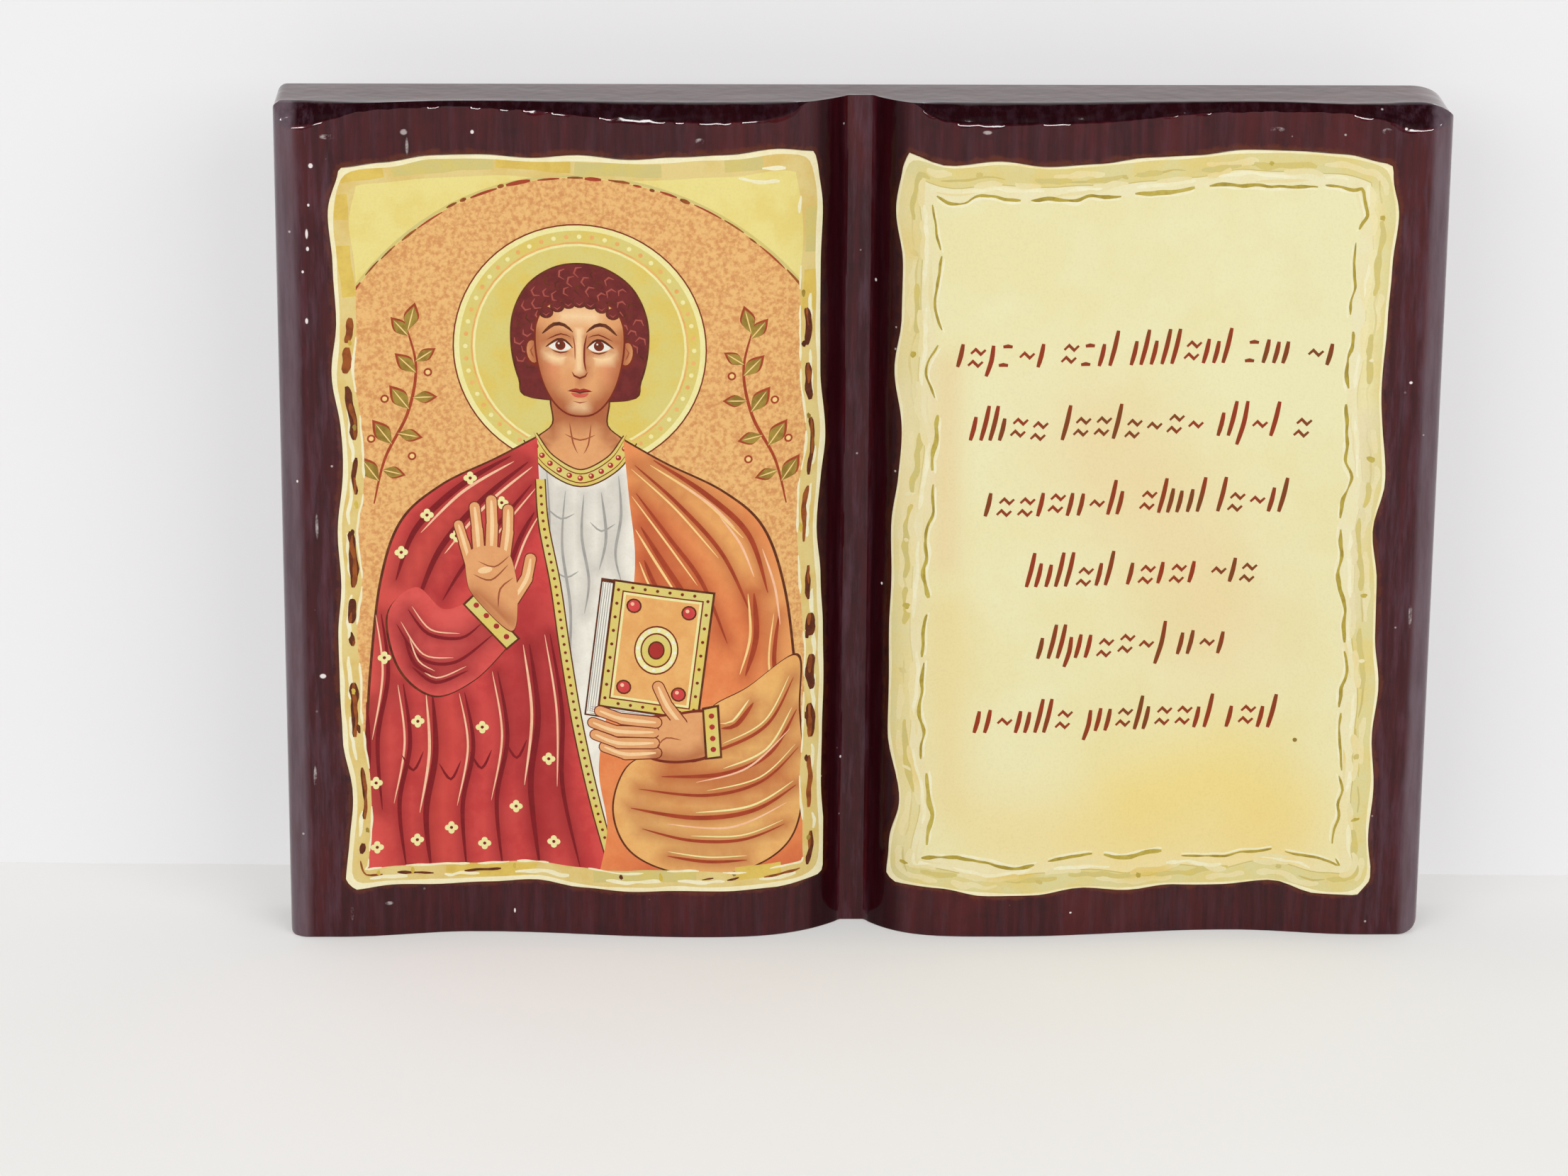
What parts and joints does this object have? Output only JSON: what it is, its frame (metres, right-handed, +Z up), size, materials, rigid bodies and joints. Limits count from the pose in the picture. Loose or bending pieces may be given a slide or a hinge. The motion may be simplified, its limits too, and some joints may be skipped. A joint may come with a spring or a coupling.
{
  "type": "icon plaque",
  "caption": "Small wooden plaque carved as an open book that stands on its lower edge, with a printed icon sheet glued to the left page and an inscribed sheet glued to the right page.",
  "frame": {"origin": "under the middle of the plaque, on the surface that it stands on", "axes": "+X runs along the plaque towards the inscribed page, the carved pages face -Y and the flat back faces +Y, +Z up"},
  "size_m": [0.2, 0.0182, 0.15],
  "materials": {
    "stained_wood": "dark stain under gloss varnish",
    "icon_print": "colour print on paper, satin varnish",
    "text_print": "colour print on paper, satin varnish"
  },
  "bodies": {
    "root": {"book_board": "stained_wood", "icon_sheet": "icon_print", "text_sheet": "text_print"}
  },
  "joints": []
}
